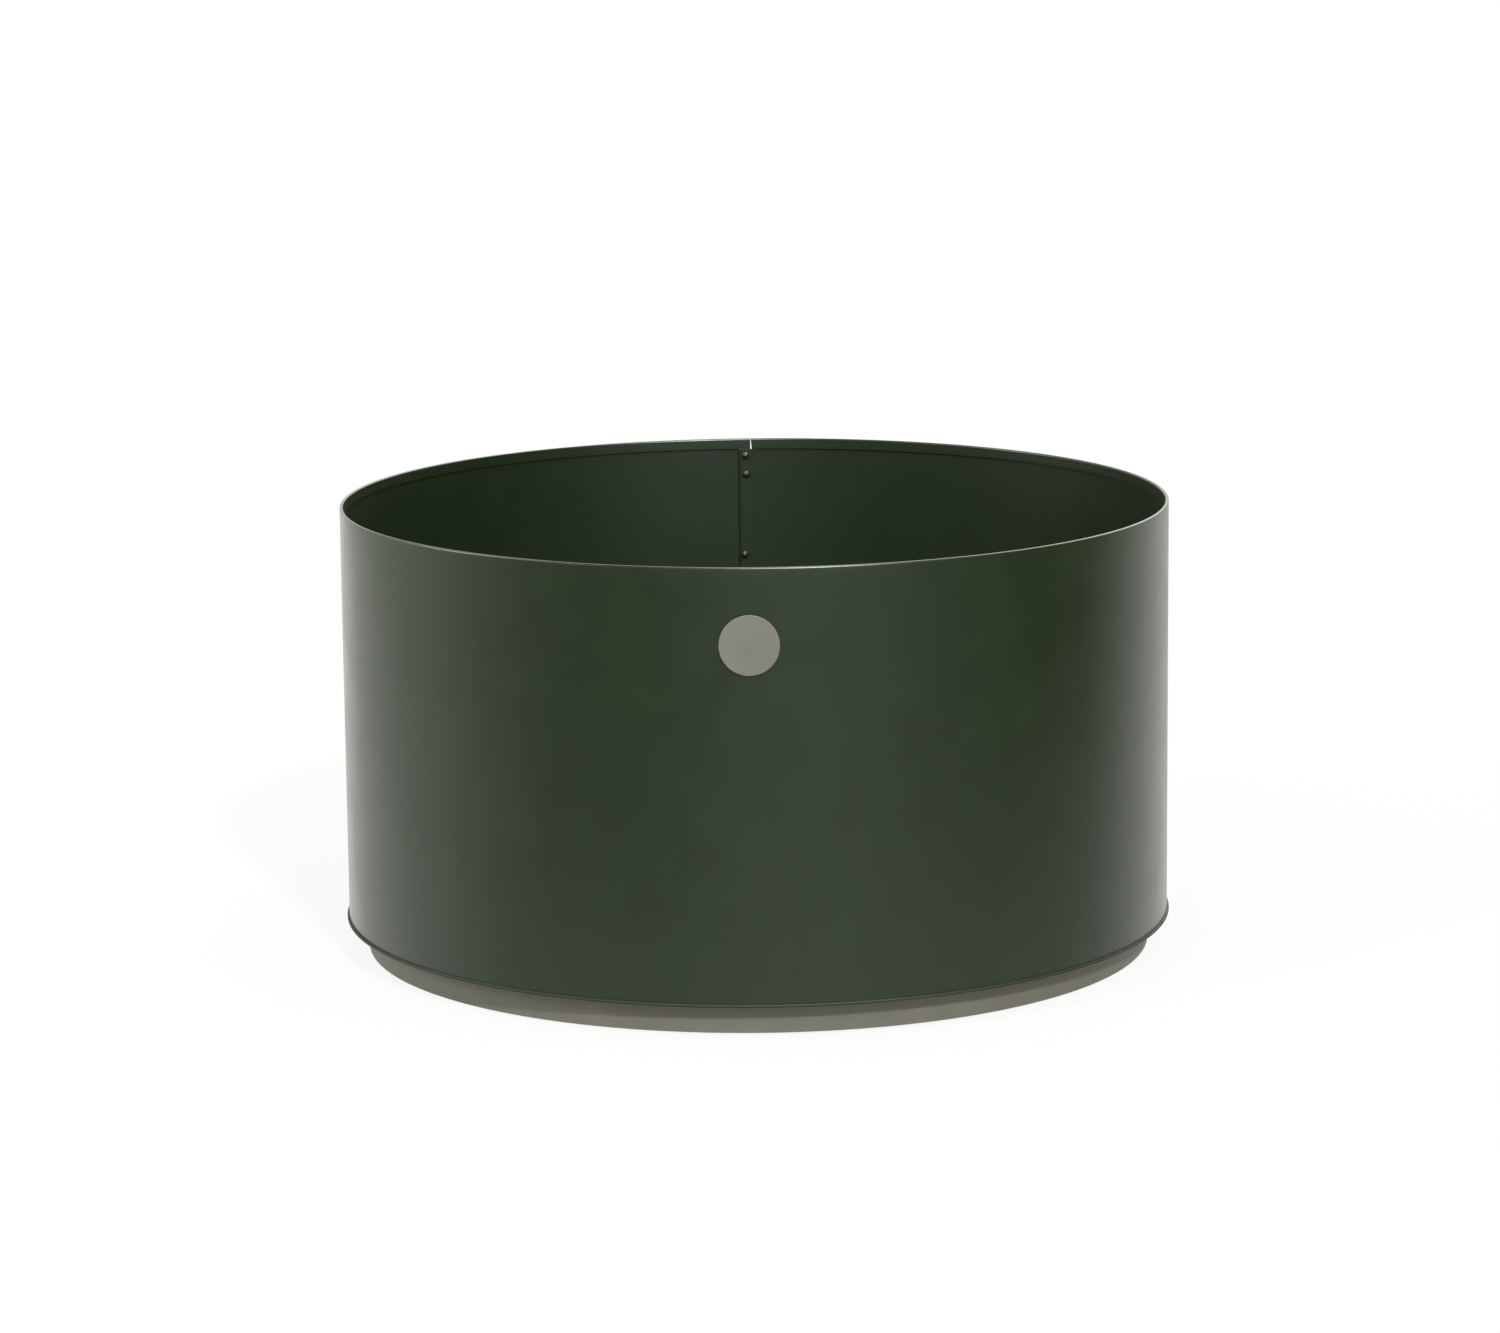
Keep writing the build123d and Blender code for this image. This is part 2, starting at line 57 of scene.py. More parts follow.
MM = 0.001
FULL_TURN = 2 * math.pi
REAR = math.pi / 2
INSIDE_RADIUS = 369.2
INSIDE_TOP = 396.0
RIM = 402.5
FLOOR_TOP = 31.2
SAME_POINT = 0.001
JOIN_DISTANCE = 0.002
PATCH_RANGE = (0.3, 0.7)
ROLLED_STRETCH = (1.0, 0.06, 1.0)
LIT_PAPER = "#e2e2e2"


def linear(hex_colour: str) -> tuple[float, float, float, float]:
    """Turn an sRGB hex colour into linear light.

    Args:
        hex_colour: Six hex digits after a hash sign.

    Returns:
        Linear red, green and blue, and an alpha of 1.
    """
    parts = [int(hex_colour[i : i + 2], 16) / 255 for i in (1, 3, 5)]
    light = [p / 12.92 if p <= 0.04045 else ((p + 0.055) / 1.055) ** 2.4 for p in parts]
    return (light[0], light[1], light[2], 1.0)


def add_node(tree: bpy.types.NodeTree, kind: str, settings: dict | None = None, **links: Any) -> bpy.types.Node:
    """Add one node, set its properties and feed its inputs.

    Args:
        tree: The node tree that gets the node.
        kind: The node's type name.
        settings: Properties of the node itself.
        links: For each input, an output socket to link or a value to set. A name stands for the input's
            label with underscores for spaces, and i0, i1 and so on stand for inputs by number.

    Returns:
        The new node.
    """
    node = tree.nodes.new(kind)
    for key, value in (settings or {}).items():
        setattr(node, key, value)
    for key, value in links.items():
        numbered = key[0] == "i" and key[1:].isdigit()
        socket = node.inputs[int(key[1:])] if numbered else node.inputs[key.replace("_", " ")]
        if isinstance(value, bpy.types.NodeSocket):
            tree.links.new(value, socket)
        else:
            socket.default_value = value
    return node


def direction_of(azimuth: float, elevation: float) -> Vector:
    """Direction from the planter towards a place in the studio.

    Args:
        azimuth: How far right of the camera the place lies, in degrees.
        elevation: Its height above the horizon, in degrees.

    Returns:
        The direction, of length 1.
    """
    turn, rise = math.radians(azimuth), math.radians(elevation)
    return Vector((math.sin(turn) * math.cos(rise), -math.cos(turn) * math.cos(rise), math.sin(rise)))


class Slot(Enum):
    """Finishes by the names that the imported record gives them."""

    GREEN_COAT = "green_coat"
    TAUPE_COAT = "taupe_coat"
    BARE_ALUMINIUM = "bare_aluminium"
    STAINLESS_STEEL = "stainless_steel"
    GASKET_RUBBER = "gasket_rubber"
    GLIDE_NYLON = "glide_nylon"


class Texture(Enum):
    """How a finish's fine relief is patterned."""

    ORANGE_PEEL = "orange peel"
    ROLLED = "rolled"
    MOULDED = "moulded"


@dataclass(frozen=True)
class Finish:
    """One surface finish, from its real colour, gloss and relief.

    Attributes:
        name: Plain name of the finish.
        dark: sRGB colour of its darker patches.
        light: sRGB colour of its lighter patches.
        roughness: Roughness at the middle of its spread.
        spread: How far the roughness goes either way.
        metallic: 1 for bare metal and 0 for a coat, rubber or plastic.
        ior: Refractive index, or None for a metal, which keeps the default.
        texture: Pattern of the fine relief.
        grain: Size of the relief's grain in millimetres.
        relief: Height of the relief in millimetres.
        patch: Size of the colour patches in millimetres.
        inside: Roughness inside the drum, or None where it is the same there.
        floor: Roughness of the floor plate, where inside isn't None.
        painted_lip_shade: sRGB colour painted on the floor plate's proud lip as painted shade, where inside isn't
            None.
    """

    name: str
    dark: str
    light: str
    roughness: float
    spread: float
    metallic: float
    ior: float | None
    texture: Texture
    grain: float
    relief: float
    patch: float
    inside: float | None = None
    floor: float = 0.65
    # Painted shade: a darker colour for the floor plate's proud lip
    painted_lip_shade: str = "#131e09"

    def vary_by_place(
        self,
        tree: bpy.types.NodeTree,
        place: bpy.types.NodeSocket,
        colour: bpy.types.NodeSocket,
        gloss: bpy.types.NodeSocket,
    ) -> tuple[bpy.types.NodeSocket, bpy.types.NodeSocket]:
        """Change the coat's roughness inside the drum and on the floor plate, and paint shade onto the plate's lip.

        The inside of the drum is what lies nearer its axis than the sheet's middle and under the hem's top.

        Args:
            tree: The material's node tree.
            place: Socket of the place in object coordinates.
            colour: Socket of the coat's colour elsewhere.
            gloss: Socket of the coat's roughness elsewhere.

        Returns:
            The sockets of the colour and the roughness for every place.
        """
        flat = add_node(tree, "ShaderNodeVectorMath", {"operation": "MULTIPLY"}, i0=place, i1=(1.0, 1.0, 0.0))
        radius = add_node(tree, "ShaderNodeVectorMath", {"operation": "LENGTH"}, i0=flat.outputs[0])
        level = add_node(tree, "ShaderNodeSeparateXYZ", Vector=place).outputs["Z"]
        within = add_node(
            tree, "ShaderNodeMath", {"operation": "LESS_THAN"}, i0=radius.outputs["Value"], i1=INSIDE_RADIUS * MM
        ).outputs[0]
        below = add_node(
            tree,
            "ShaderNodeMapRange",
            {"interpolation_type": "SMOOTHSTEP"},
            i0=level,
            i1=INSIDE_TOP * MM,
            i2=RIM * MM,
            i3=1.0,
            i4=0.0,
        ).outputs[0]
        foot = add_node(
            tree, "ShaderNodeMath", {"operation": "LESS_THAN"}, i0=level, i1=FLOOR_TOP * MM
        ).outputs[0]
        share = add_node(tree, "ShaderNodeMath", {"operation": "MULTIPLY"}, i0=within, i1=below).outputs[0]
        gloss = add_node(
            tree, "ShaderNodeMix", {"data_type": "FLOAT"}, i0=share, i2=gloss, i3=self.inside
        ).outputs[0]
        gloss = add_node(
            tree, "ShaderNodeMix", {"data_type": "FLOAT"}, i0=foot, i2=gloss, i3=self.floor
        ).outputs[0]
        # Painted shade: the floor plate's proud lip, under the floor's top and outside the drum, takes a darker
        # colour
        lip_shade_share = add_node(
            tree, "ShaderNodeMath", {"operation": "SUBTRACT", "use_clamp": True}, i0=foot, i1=within
        ).outputs[0]
        colour = add_node(
            tree, "ShaderNodeMix", {"data_type": "RGBA"}, i0=lip_shade_share, i6=colour, i7=linear(self.painted_lip_shade)
        ).outputs[2]
        return colour, gloss

    def material(self) -> bpy.types.Material:
        """Build the finish as a node material that reads object coordinates.

        The colour and the roughness wander in soft patches a few centimetres across, as dust, handling and the
        coat's own flow leave them. The relief is noise at the grain's size, drawn out along Z for rolled metal.

        Returns:
            The finished material.
        """
        material = bpy.data.materials.new(self.name)
        material.use_nodes = True
        tree = material.node_tree
        tree.nodes.clear()
        place = add_node(tree, "ShaderNodeTexCoord").outputs["Object"]
        stretch = ROLLED_STRETCH if self.texture is Texture.ROLLED else (1.0, 1.0, 1.0)
        fine_place = add_node(tree, "ShaderNodeMapping", Vector=place, Scale=stretch).outputs["Vector"]
        patches = add_node(
            tree, "ShaderNodeTexNoise", Vector=place, Scale=1 / (self.patch * MM), Detail=1.5, Roughness=0.5
        )
        grains = add_node(
            tree, "ShaderNodeTexNoise", Vector=fine_place, Scale=1 / (self.grain * MM), Detail=2.0, Roughness=0.5
        )
        low, high = PATCH_RANGE
        tone = add_node(tree, "ShaderNodeMapRange", i0=patches.outputs["Fac"], i1=low, i2=high, i3=0.0, i4=1.0)
        colour = add_node(
            tree,
            "ShaderNodeMix",
            {"data_type": "RGBA"},
            i0=tone.outputs[0],
            i6=linear(self.dark),
            i7=linear(self.light),
        ).outputs[2]
        gloss = add_node(
            tree,
            "ShaderNodeMapRange",
            i0=patches.outputs["Fac"],
            i1=low,
            i2=high,
            i3=self.roughness - self.spread,
            i4=self.roughness + self.spread,
        ).outputs[0]
        if self.inside is not None:
            colour, gloss = self.vary_by_place(tree, place, colour, gloss)
        bump = add_node(
            tree, "ShaderNodeBump", Height=grains.outputs["Fac"], Distance=self.relief * MM, Strength=1.0
        )
        shader = add_node(
            tree,
            "ShaderNodeBsdfPrincipled",
            Base_Color=colour,
            Roughness=gloss,
            Metallic=self.metallic,
            Normal=bump.outputs["Normal"],
        )
        if self.ior is not None:
            shader.inputs["IOR"].default_value = self.ior
        add_node(tree, "ShaderNodeOutputMaterial", Surface=shader.outputs["BSDF"])
        return material


FINISHES: dict[Slot, Finish] = {
    # Satin polyester powder coat, sprayed and baked: its flow leaves a fine orange peel that breaks up reflections.
    # Less powder reaches the inside of a drum, so the coat is drier and duller there, and most on the
    # floor plate. The plate's proud lip gets a darker colour, which is painted shade
    Slot.GREEN_COAT: Finish(
        "green_powder_coat", "#1c2d13", "#1f3015", 0.28, 0.02, 0.0, 1.5, Texture.ORANGE_PEEL, 1.3, 0.006, 45.0, 0.37
    ),
    # Matt polyester powder coat on the plinth and the badge: drier, so its peel is finer and its gloss low
    Slot.TAUPE_COAT: Finish(
        "taupe_powder_coat", "#79776c", "#7f7d72", 0.6, 0.03, 0.0, 1.5, Texture.ORANGE_PEEL, 1.1, 0.006, 30.0
    ),
    # Mill-finish aluminium: the rolls leave fine streaks along the sheet and a soft sheen
    Slot.BARE_ALUMINIUM: Finish(
        "mill_aluminium", "#c4c6c8", "#d2d4d5", 0.38, 0.06, 1.0, None, Texture.ROLLED, 0.8, 0.004, 25.0
    ),
    # Stainless fasteners, cold headed and tumbled: grey, fairly smooth, with faint streaks
    Slot.STAINLESS_STEEL: Finish(
        "tumbled_stainless_steel", "#a8a7a4", "#b8b7b3", 0.3, 0.05, 1.0, None, Texture.MOULDED, 0.6, 0.003, 6.0
    ),
    # Cut rubber sheet: black, dull, with a slight bloom
    Slot.GASKET_RUBBER: Finish(
        "cut_rubber_sheet", "#161616", "#202020", 0.8, 0.05, 0.0, 1.52, Texture.MOULDED, 0.7, 0.01, 8.0
    ),
    # Injection-moulded nylon: near black, with the fine spark-eroded texture of its mould
    Slot.GLIDE_NYLON: Finish(
        "moulded_nylon", "#191919", "#242424", 0.55, 0.05, 0.0, 1.53, Texture.MOULDED, 0.5, 0.012, 10.0
    ),
}


def grid_quads(rows: int, columns: int) -> np.ndarray:
    """Corner numbers of the quads of an open grid of points, counted row by row.

    Args:
        rows: Number of points down.
        columns: Number of points across.

    Returns:
        An array of four corner numbers a quad, anticlockwise when rows run up and columns run right.
    """
    row, column = np.meshgrid(np.arange(rows - 1), np.arange(columns - 1), indexing="ij")
    first = (row * columns + column).ravel()
    return np.stack([first, first + 1, first + columns + 1, first + columns], axis=1)


@dataclass
class Patchwork:
    """Grids of points that join into one mesh where their points meet.

    Attributes:
        points: Points of each patch, in millimetres.
        quads: Corner numbers of each patch's quads.
    """

    points: list[np.ndarray] = field(default_factory=list)
    quads: list[np.ndarray] = field(default_factory=list)

    def add(self, grid: np.ndarray, flip: bool = False) -> None:
        """Add a grid of shape rows, columns, 3, with its faces turned over if flip is true."""
        faces = grid_quads(grid.shape[0], grid.shape[1]) + sum(len(p) for p in self.points)
        self.points.append(grid.reshape(-1, 3))
        self.quads.append(faces[:, ::-1] if flip else faces)

    def add_triangles(self, points: np.ndarray, triangles: np.ndarray, flip: bool = False) -> None:
        """Add points with triangles between them, kept as quads whose last corner is doubled."""
        corners = triangles[:, ::-1] if flip else triangles
        faces = np.concatenate([corners, corners[:, 2:]], axis=1) + sum(len(p) for p in self.points)
        self.points.append(points)
        self.quads.append(faces)

    def build(self, name: str, material: bpy.types.Material) -> bpy.types.Object:
        """Join the patches, dropping doubled points and collapsed corners, and make the object.

        Points closer than a micrometre are one point. A quad that loses a corner becomes a triangle.

        Args:
            name: Name of the new piece.
            material: Its finish.

        Returns:
            The new object, at the origin, shaded smooth.
        """
        points = np.concatenate(self.points)
        quads = np.concatenate(self.quads)
        keys = np.round(points / SAME_POINT).astype(np.int64)
        _, first, number = np.unique(keys, axis=0, return_index=True, return_inverse=True)
        quads = number.reshape(-1)[quads]
        faces = []
        for quad in quads.tolist():
            corners = list(dict.fromkeys(quad))
            if len(corners) > 2:
                faces.append(corners)
        mesh = bpy.data.meshes.new(name)
        mesh.from_pydata((points[first] * MM).tolist(), [], faces)
        mesh.validate()
        mesh.polygons.foreach_set("use_smooth", np.ones(len(mesh.polygons), dtype=bool))
        mesh.materials.append(material)
        piece = bpy.data.objects.new(name, mesh)
        bpy.context.scene.collection.objects.link(piece)
        return piece


def soften_group(angle: float) -> bpy.types.NodeTree:
    """Node group that joins loose triangles and shades them smooth, but for edges sharper than an angle.

    Args:
        angle: The angle between two faces above which their edge stays sharp, in radians.

    Returns:
        A geometry node group for a modifier.
    """
    group = bpy.data.node_groups.new("join_and_smooth", "GeometryNodeTree")
    group.interface.new_socket("Geometry", in_out="INPUT", socket_type="NodeSocketGeometry")
    group.interface.new_socket("Geometry", in_out="OUTPUT", socket_type="NodeSocketGeometry")
    source = add_node(group, "NodeGroupInput").outputs[0]
    joined = add_node(group, "GeometryNodeMergeByDistance", Geometry=source, Distance=JOIN_DISTANCE * MM).outputs[0]
    smooth = add_node(group, "GeometryNodeSetShadeSmooth", {"domain": "FACE"}, Geometry=joined).outputs[0]
    turn = add_node(group, "GeometryNodeInputMeshEdgeAngle").outputs[0]
    sharp = add_node(group, "FunctionNodeCompare", {"operation": "GREATER_THAN"}, i0=turn, i1=angle).outputs[0]
    edged = add_node(
        group, "GeometryNodeSetShadeSmooth", {"domain": "EDGE"}, Geometry=smooth, Selection=sharp, Shade_Smooth=False
    ).outputs[0]
    add_node(group, "NodeGroupOutput", i0=edged)
    return group


@dataclass
class Workshop:
    """What every sub-assembly uses: the finishes and the way a piece is handed over.

    Attributes:
        smooth_angle: Edges sharper than this stay sharp on a carried-over piece, in degrees.
        large_face_weight: How much more a large face's direction counts than a small one's, up to 100.
        materials: The finished material of each slot.
        softener: The node group that smooths a piece.
    """

    smooth_angle: float = 35.0
    large_face_weight: int = 90
    materials: dict[Slot, bpy.types.Material] = field(init=False)
    softener: bpy.types.NodeTree = field(init=False)

    def __post_init__(self) -> None:
        """Make the materials and the smoothing group once."""
        self.materials = {slot: finish.material() for slot, finish in FINISHES.items()}
        self.softener = soften_group(math.radians(self.smooth_angle))

    def smooth(self, piece: bpy.types.Object) -> None:
        """Join a piece's loose triangles and shade it smooth between its sharp edges."""
        modifier = piece.modifiers.new("join_and_smooth", "NODES")
        modifier.node_group = self.softener

    def hand_over(self, piece: bpy.types.Object, slot: Slot, *nodes: str) -> None:
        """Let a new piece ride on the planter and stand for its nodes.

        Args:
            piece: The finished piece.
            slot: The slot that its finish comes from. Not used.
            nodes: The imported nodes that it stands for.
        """
        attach(piece, "root")
        if nodes:
            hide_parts(*nodes)
        log.info("%s: %d faces, for %s", piece.name, len(piece.data.polygons), ", ".join(nodes) or "nothing packed")

    def dress(self, name: str, slot: Slot) -> None:
        """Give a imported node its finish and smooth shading, its mesh left as it is.

        Args:
            name: The node's name.
            slot: The slot that its finish comes from.
        """
        node = frame["nodes"][name]
        node.data.materials.clear()
        node.data.materials.append(self.materials[slot])
        self.smooth(node)
        clean = node.modifiers.new("even_normals", "WEIGHTED_NORMAL")
        clean.mode = "FACE_AREA_WITH_ANGLE"
        clean.weight = self.large_face_weight
        clean.keep_sharp = True
        log.info("%s: carried over in %s", name, slot.value)


@dataclass
class WallSheet:
    """The rolled wall: one sheet with a closed hem, a joggled lap at the rear and 24 tabs bent inwards.

    All radii are of the sheet's mid-surface, and Solidify gives the sheet its thickness either way.
    """

    outer_radius: float = 370.0
    thickness: float = 1.5
    foot: float = 31.0
    height: float = 371.5
    hem_height: float = 10.0
    hem_gap: float = 0.2
    hem_steps: int = 12
    columns: int = 768
    joggle_start: float = -15.3
    joggle_end: float = -12.9
    outer_end: float = -12.5
    lap_end: float = -1.9
    lap_gap: float = 0.1
    slit_left: tuple[float, float] = (-3.2, -3.075)
    slit_right: tuple[float, float] = (-2.8, -1.725)
    relief_left: float = -15.5
    relief_height: float = 0.3
    tab_count: int = 24
    tab_width: float = 30.0
    tab_depth: float = 14.0
    tab_corner: float = 4.0
    edge_round: float = 0.12
    edge_angle: float = 50.0
    wall_levels: int = 9
    joggle_steps: int = 9
    lap_steps: int = 5
    end_steps: int = 4
    corner_steps: int = 7
    tab_rows: int = 5

    @property
    def radius(self) -> float:
        """Radius of the mid-surface of the ring."""
        return self.outer_radius - self.thickness / 2

    @property
    def rim(self) -> float:
        """Level of the rim."""
        return self.foot + self.height

    def angle(self, across: float | np.ndarray) -> float | np.ndarray:
        """Polar angle of the rear of the ring at this distance across the seam."""
        return REAR - np.arcsin(across / self.outer_radius)

    def ring_grid(self, angles: np.ndarray, section: np.ndarray) -> np.ndarray:
        """Carry a section of radius and level round the drum.

        Each point is its radius times the cosine and sine of the angle, at its level.

        Args:
            angles: Angles of the columns, or one such row for each point of the section.
            section: Radius and level of each row.

        Returns:
            A grid of points, rows up and columns round.
        """
        turns = np.broadcast_to(angles, (len(section), np.shape(angles)[-1]))
        radius = section[:, :1]
        level = np.broadcast_to(section[:, 1:], turns.shape)
        return np.stack([radius * np.cos(turns), radius * np.sin(turns), level], axis=2)

    def wall_section(self) -> np.ndarray:
        """Straight section of the ring from its foot up to the relief under the hem."""
        levels = np.linspace(self.foot, self.rim - self.hem_height - self.relief_height, self.wall_levels)
        return np.stack([np.full_like(levels, self.radius), levels], axis=1)

    def hem_section(self) -> np.ndarray:
        """Section of the closed hem: up the outside, over half a circle and down the inside."""
        fold = (self.thickness + self.hem_gap) / 2
        level = self.rim - self.thickness / 2 - fold
        turn = np.linspace(0, math.pi, self.hem_steps + 1)
        bow = np.stack([self.radius - fold + fold * np.cos(turn), level + fold * np.sin(turn)], axis=1)
        start = [[self.radius, self.rim - self.hem_height]]
        stop = [[self.radius - 2 * fold, self.rim - self.hem_height]]
        return np.concatenate([start, bow, stop])

    def tab_grid(self, middle: float) -> np.ndarray:
        """One tab, from the middle of the wall along the floor plate to its rounded corners.

        A point's place across the tab stays the same all the way in, so the sides are parallel. Each column
        starts on the wall's circle and ends where the corner's circle meets it.

        Args:
            middle: Polar angle of the tab's middle.

        Returns:
            A grid of points, rows outwards and columns across.
        """
        corner = self.tab_corner * (1 - np.cos(np.linspace(0, math.pi / 2, self.corner_steps)))
        across = np.concatenate([corner - self.tab_width / 2, self.tab_width / 2 - corner[::-1]])
        past_corner = np.clip(np.abs(across) - (self.tab_width / 2 - self.tab_corner), 0, self.tab_corner)
        end = self.outer_radius - self.thickness - self.tab_depth
        end = end + self.tab_corner - np.sqrt(self.tab_corner**2 - past_corner**2)
        start = np.sqrt(self.radius**2 - across**2)
        run = np.linspace(0, 1, self.tab_rows)[:, None]
        radial = end * (1 - run) + start * run
        wide = np.broadcast_to(across, radial.shape)
        x = radial * math.cos(middle) - wide * math.sin(middle)
        y = radial * math.sin(middle) + wide * math.cos(middle)
        return np.stack([x, y, np.full_like(x, self.foot + self.thickness / 2)], axis=2)

    def build(self, shop: Workshop) -> None:
        """Join ring, hem, lap and tabs into one sheet and give it thickness and softened edges.

        Args:
            shop: Supplies the finish and takes the piece.
        """
        step = FULL_TURN / self.columns
        sheet = Patchwork()
        right = REAR - step / 2
        left = float(self.angle(self.relief_left))
        regular = right - step * np.arange(self.columns)
        regular = regular[regular > left - FULL_TURN + 0.2 * step]
        body = np.append(regular, left - FULL_TURN)[::-1]
        wall = self.wall_section()
        hem = self.hem_section()
        sheet.add(self.ring_grid(body, np.concatenate([wall, hem])))
        # The tabs meet the wall at right angles on its inside
        pitch = FULL_TURN / self.tab_count
        for middle in REAR - pitch / 2 - pitch * np.arange(self.tab_count):
            sheet.add(self.tab_grid(middle), flip=True)
        # The ring's outer end runs on over the lap
        over = np.append(right + step * np.arange(self.end_steps), float(self.angle(self.outer_end)))
        sheet.add(self.ring_grid(over, wall))
        # The lap steps in by a smooth S and passes under the outer end
        ease = np.linspace(0, 1, self.joggle_steps)
        drop = (self.thickness + self.lap_gap) * ease**2 * (3 - 2 * ease)
        joggle = np.linspace(self.joggle_start, self.joggle_end, self.joggle_steps)
        under = np.linspace(self.joggle_end, self.lap_end, self.lap_steps + 1)[1:]
        across = np.concatenate([[self.relief_left], joggle, under])
        radii = self.radius - np.concatenate([[0.0], drop, np.full(self.lap_steps, drop[-1])])
        turns = self.angle(across)
        lap = self.ring_grid(turns, wall)
        lap[..., :2] *= (radii / self.radius)[None, :, None]
        sheet.add(lap, flip=True)
        # The hem's two ends meet at a slit that widens downwards
        for edge, slit, flip in (
            (np.append(left, left - step * np.arange(1, self.end_steps)), self.slit_left, True),
            (np.array([right]), self.slit_right, False),
        ):
            share = (self.rim - hem[:, 1]) / self.hem_height
            end = self.angle(slit[0] + (slit[1] - slit[0]) * share)[:, None]
            turns = np.concatenate([np.broadcast_to(edge, (len(hem), len(edge))), end], axis=1)
            sheet.add(self.ring_grid(turns, hem), flip=flip)
        piece = sheet.build("wall_shell", shop.materials[Slot.GREEN_COAT])
        solid = piece.modifiers.new("sheet_thickness", "SOLIDIFY")
        solid.thickness = self.thickness * MM
        solid.offset = 0.0
        solid.use_even_offset = True
        edges = piece.modifiers.new("softened_cut_edges", "BEVEL")
        edges.width = self.edge_round * MM
        edges.segments = 2
        edges.limit_method = "ANGLE"
        edges.angle_limit = math.radians(self.edge_angle)
        edges.harden_normals = True
        shop.hand_over(piece, Slot.GREEN_COAT, "wall_sheet")


@dataclass
class FloorPlate:
    """The floor plate: a flat disc with rounded edges, rivet holes and drain holes.

    Its radius is a little under the real 372 mm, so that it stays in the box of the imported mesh's chords.
    """

    radius: float = 371.89
    fillet: float = 0.8
    fillet_steps: int = 8
    flat_edge: float = 0.3
    underside: float = 28.5
    top: float = 31.0
    columns: int = 768
    hole_steps: int = 24
    tab_rivet_circle: float = 360.5
    tab_rivets: int = 24
    plinth_rivet_circle: float = 341.6
    plinth_rivets: int = 12
    small_hole: float = 2.1
    large_hole: float = 2.5
    bearer_spacing: float = 190.0
    bearer_flange: float = 29.0
    middle_bearer: float = 611.8
    side_bearer: float = 433.4
    rivet_pitch: float = 115.0
    drain_radius: float = 6.0
    drain_across: float = 95.0
    drain_pitch: float = 150.0
    same_corner: float = 1e-5

    @property
    def flat_radius(self) -> float:
        """Radius of the flat faces, a little inside the fillet."""
        return self.radius - self.fillet - self.flat_edge

    @staticmethod
    def hole_row(x: float | np.ndarray, y: float | np.ndarray, radius: float) -> np.ndarray:
        """Holes of one radius, one to a row, as X, Y and radius."""
        x, y = np.broadcast_arrays(x, y)
        return np.stack([x, y, np.full(len(x), radius)], axis=1)

    def holes(self) -> np.ndarray:
        """Place and radius of each hole: two circles of rivets, six rows of bearer rivets and two rows of drains."""
        rows = []
        circles = ((self.tab_rivet_circle, self.tab_rivets), (self.plinth_rivet_circle, self.plinth_rivets))
        for circle, count in circles:
            turn = REAR + FULL_TURN * (np.arange(count) + 0.5) / count
            rows.append(self.hole_row(circle * np.cos(turn), circle * np.sin(turn), self.small_hole))
        for across in (-self.bearer_spacing, 0.0, self.bearer_spacing):
            span = self.side_bearer if across else self.middle_bearer
            along = span * np.linspace(-0.5, 0.5, round(span / self.rivet_pitch) + 1)
            for side in (-self.bearer_flange, self.bearer_flange):
                rows.append(self.hole_row(across + side, along, self.large_hole))
        for across in (-self.drain_across, self.drain_across):
            rows.append(self.hole_row(across, self.drain_pitch * np.arange(-1, 2), self.drain_radius))
        return np.concatenate(rows)

    def edge_grid(self, circle: np.ndarray) -> np.ndarray:
        """The plate's outer edge: the rim of each flat face, a quarter-circle fillet on both and the side between.

        Args:
            circle: Cosine and sine of each column's angle, with the first repeated at the end.

        Returns:
            A grid of points, rows from the underside to the top and columns round.
        """
        bow = np.linspace(0, math.pi / 2, self.fillet_steps + 1)
        out = self.radius - self.fillet + self.fillet * np.sin(bow)
        lower = np.stack([out, self.underside + self.fillet * (1 - np.cos(bow))], axis=1)
        upper = np.stack([lower[::-1, 0], self.top + self.underside - lower[::-1, 1]], axis=1)
        start, stop = [[self.flat_radius, self.underside]], [[self.flat_radius, self.top]]
        section = np.concatenate([start, lower, upper, stop])
        ring = section[:, :1, None] * circle[None]
        level = np.broadcast_to(section[:, 1:, None], (*ring.shape[:2], 1))
        return np.concatenate([ring, level], axis=2)

    def flat_face(self, loops: list[np.ndarray], holes: np.ndarray) -> tuple[np.ndarray, np.ndarray]:
        """Triangles between the edge's circle and the holes' circles, with the holes left open.

        Args:
            loops: The points of the edge's circle and then of each hole's.
            holes: Place and radius of each hole.

        Returns:
            The points in the plane, and the corner numbers of the triangles, anticlockwise.
        """
        starts = np.cumsum([0, *(len(loop) for loop in loops[:-1])])
        links = []
        for start, loop in zip(starts, loops):
            step = np.arange(len(loop))
            links.append(np.stack([start + step, start + (step + 1) % len(loop)], axis=1))
        outline, edges = np.concatenate(loops).tolist(), np.concatenate(links).tolist()
        corners, _, faces, *_ = delaunay_2d_cdt(outline, edges, [], 1, self.same_corner)
        points, triangles = np.array([tuple(corner) for corner in corners]), np.array(faces)
        middles = points[triangles].mean(axis=1)
        apart = np.linalg.norm(middles[:, None] - holes[None, :, :2], axis=2)
        triangles = triangles[(apart > holes[None, :, 2]).all(axis=1)]
        one, two, three = (points[triangles[:, corner]] for corner in range(3))
        clockwise = np.cross(two - one, three - one) < 0
        triangles[clockwise] = triangles[clockwise][:, ::-1]
        return points, triangles

